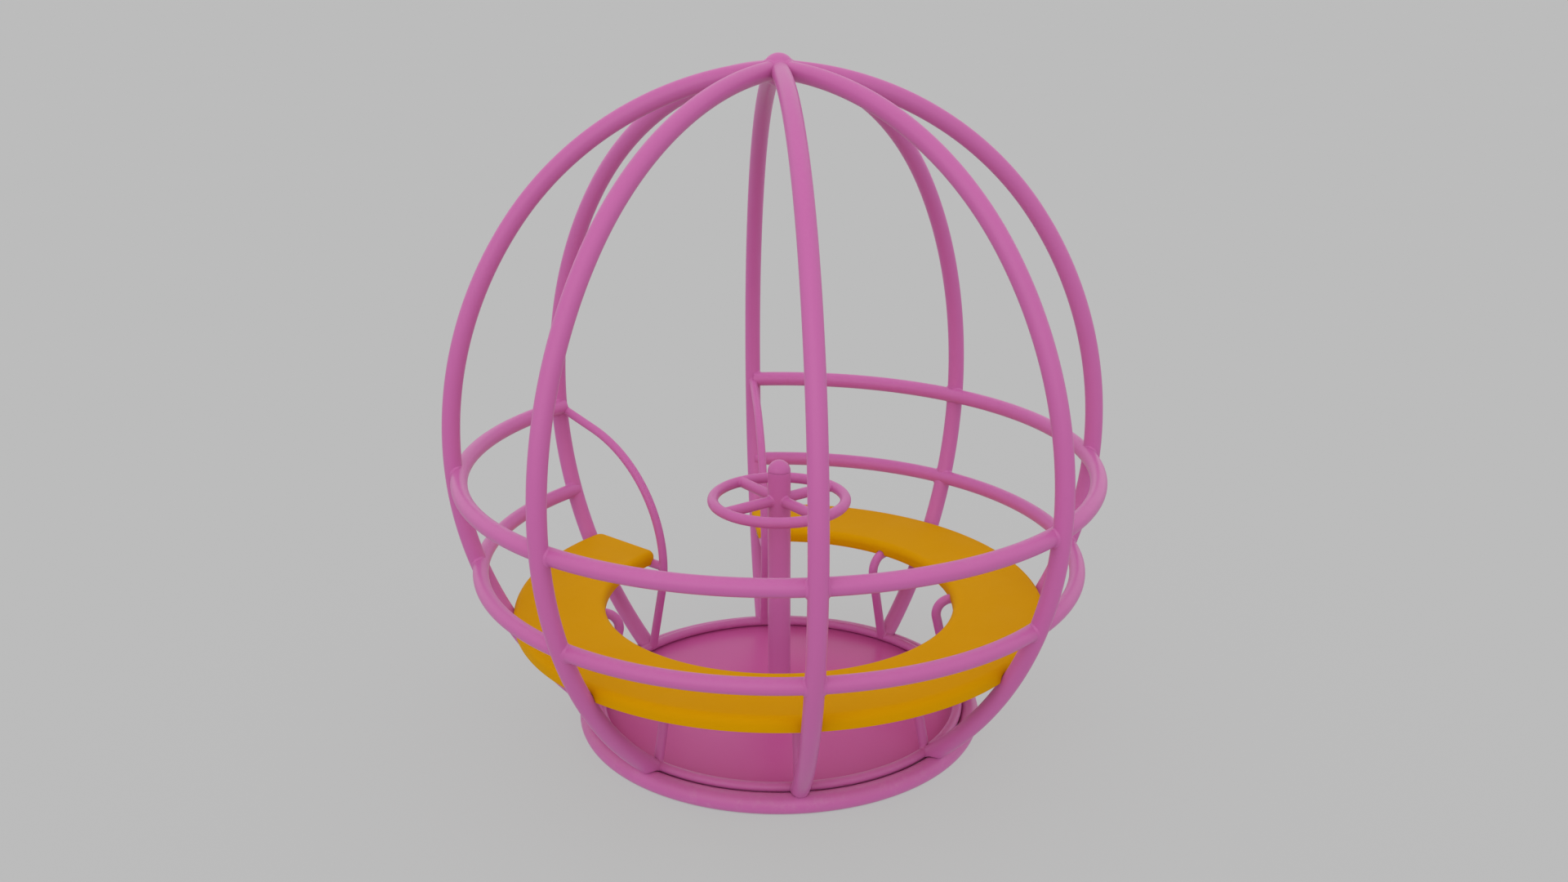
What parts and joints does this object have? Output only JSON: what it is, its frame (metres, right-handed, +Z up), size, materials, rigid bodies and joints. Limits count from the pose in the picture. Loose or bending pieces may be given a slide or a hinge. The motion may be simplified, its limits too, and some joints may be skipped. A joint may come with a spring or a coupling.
{
  "type": "merry go round",
  "caption": "Globe merry go round: a round tube cage with a C-shaped seat and one open bay turns on a fixed base ring and post with a handwheel.",
  "frame": {"origin": "on the ground at the axis of rotation, the centre of the anchor plate's underside", "axes": "+Z up along the axis of rotation, -Y towards the entrance, +X to the right of someone who looks in through the entrance"},
  "size_m": [1.7646, 1.7185, 1.8518],
  "materials": {
    "pink_paint": "satin gloss powder coat",
    "deck_paint": "gloss paint",
    "seat_plastic": "satin moulded plastic",
    "zinc_steel": "zinc plated",
    "bearing_steel": "ground and polished",
    "seal_rubber": "matt"
  },
  "bodies": {
    "base": {"base_ring": "pink_paint", "base_arms": "pink_paint", "anchor_plate": "pink_paint", "centre_post": "pink_paint", "post_cap": "pink_paint", "handwheel_rim": "pink_paint", "handwheel_spokes": "pink_paint", "lower_bearing_inner": "bearing_steel", "upper_bearing_inner": "bearing_steel", "bearing_spacer": "zinc_steel", "lock_collar": "zinc_steel", "lock_screws": "zinc_steel"},
    "cage": {"deck_plate": "deck_paint", "deck_spokes": "pink_paint", "deck_rim": "pink_paint", "hub_housing": "pink_paint", "lower_bearing_outer": "bearing_steel", "upper_bearing_outer": "bearing_steel", "hub_cover": "pink_paint", "hub_cover_screws": "zinc_steel", "dust_seal": "seal_rubber", "rib_1": "pink_paint", "rib_2": "pink_paint", "rib_3": "pink_paint", "rib_4": "pink_paint", "rib_5": "pink_paint", "rib_6": "pink_paint", "rib_7": "pink_paint", "rib_8": "pink_paint", "crown_ball": "pink_paint", "upper_rail_1": "pink_paint", "upper_rail_2": "pink_paint", "upper_rail_3": "pink_paint", "upper_rail_4": "pink_paint", "upper_rail_5": "pink_paint", "upper_rail_6": "pink_paint", "upper_rail_7": "pink_paint", "lower_rail_1": "pink_paint", "lower_rail_2": "pink_paint", "lower_rail_3": "pink_paint", "lower_rail_4": "pink_paint", "lower_rail_5": "pink_paint", "lower_rail_6": "pink_paint", "lower_rail_7": "pink_paint", "seat_support_1": "pink_paint", "seat_support_2": "pink_paint", "seat_support_3": "pink_paint", "seat_support_4": "pink_paint", "seat_support_5": "pink_paint", "seat_support_6": "pink_paint", "entrance_hoop_right": "pink_paint", "entrance_hoop_left": "pink_paint", "entrance_arm_right": "pink_paint", "entrance_arm_left": "pink_paint", "seat": "seat_plastic", "seat_clips": "zinc_steel", "seat_bolts": "zinc_steel"},
    "lower_balls": {"lower_bearing_balls": "bearing_steel"},
    "upper_balls": {"upper_bearing_balls": "bearing_steel"}
  },
  "joints": [
    {"name": "cage_spin", "type": "hinge", "parent": "base", "child": "cage", "pos_m": [0, 0, 0.05], "axis": [0, 0, 1], "continuous": true},
    {"name": "lower_balls_roll", "type": "hinge", "parent": "base", "child": "lower_balls", "pos_m": [0, 0, 0.023], "axis": [0, 0, 1], "continuous": true},
    {"name": "upper_balls_roll", "type": "hinge", "parent": "base", "child": "upper_balls", "pos_m": [0, 0, 0.067], "axis": [0, 0, 1], "continuous": true}
  ],
  "couplings": [
    {"joint": "lower_balls_roll", "follows": "cage_spin", "ratio": 0.5681},
    {"joint": "upper_balls_roll", "follows": "cage_spin", "ratio": 0.5681}
  ]
}
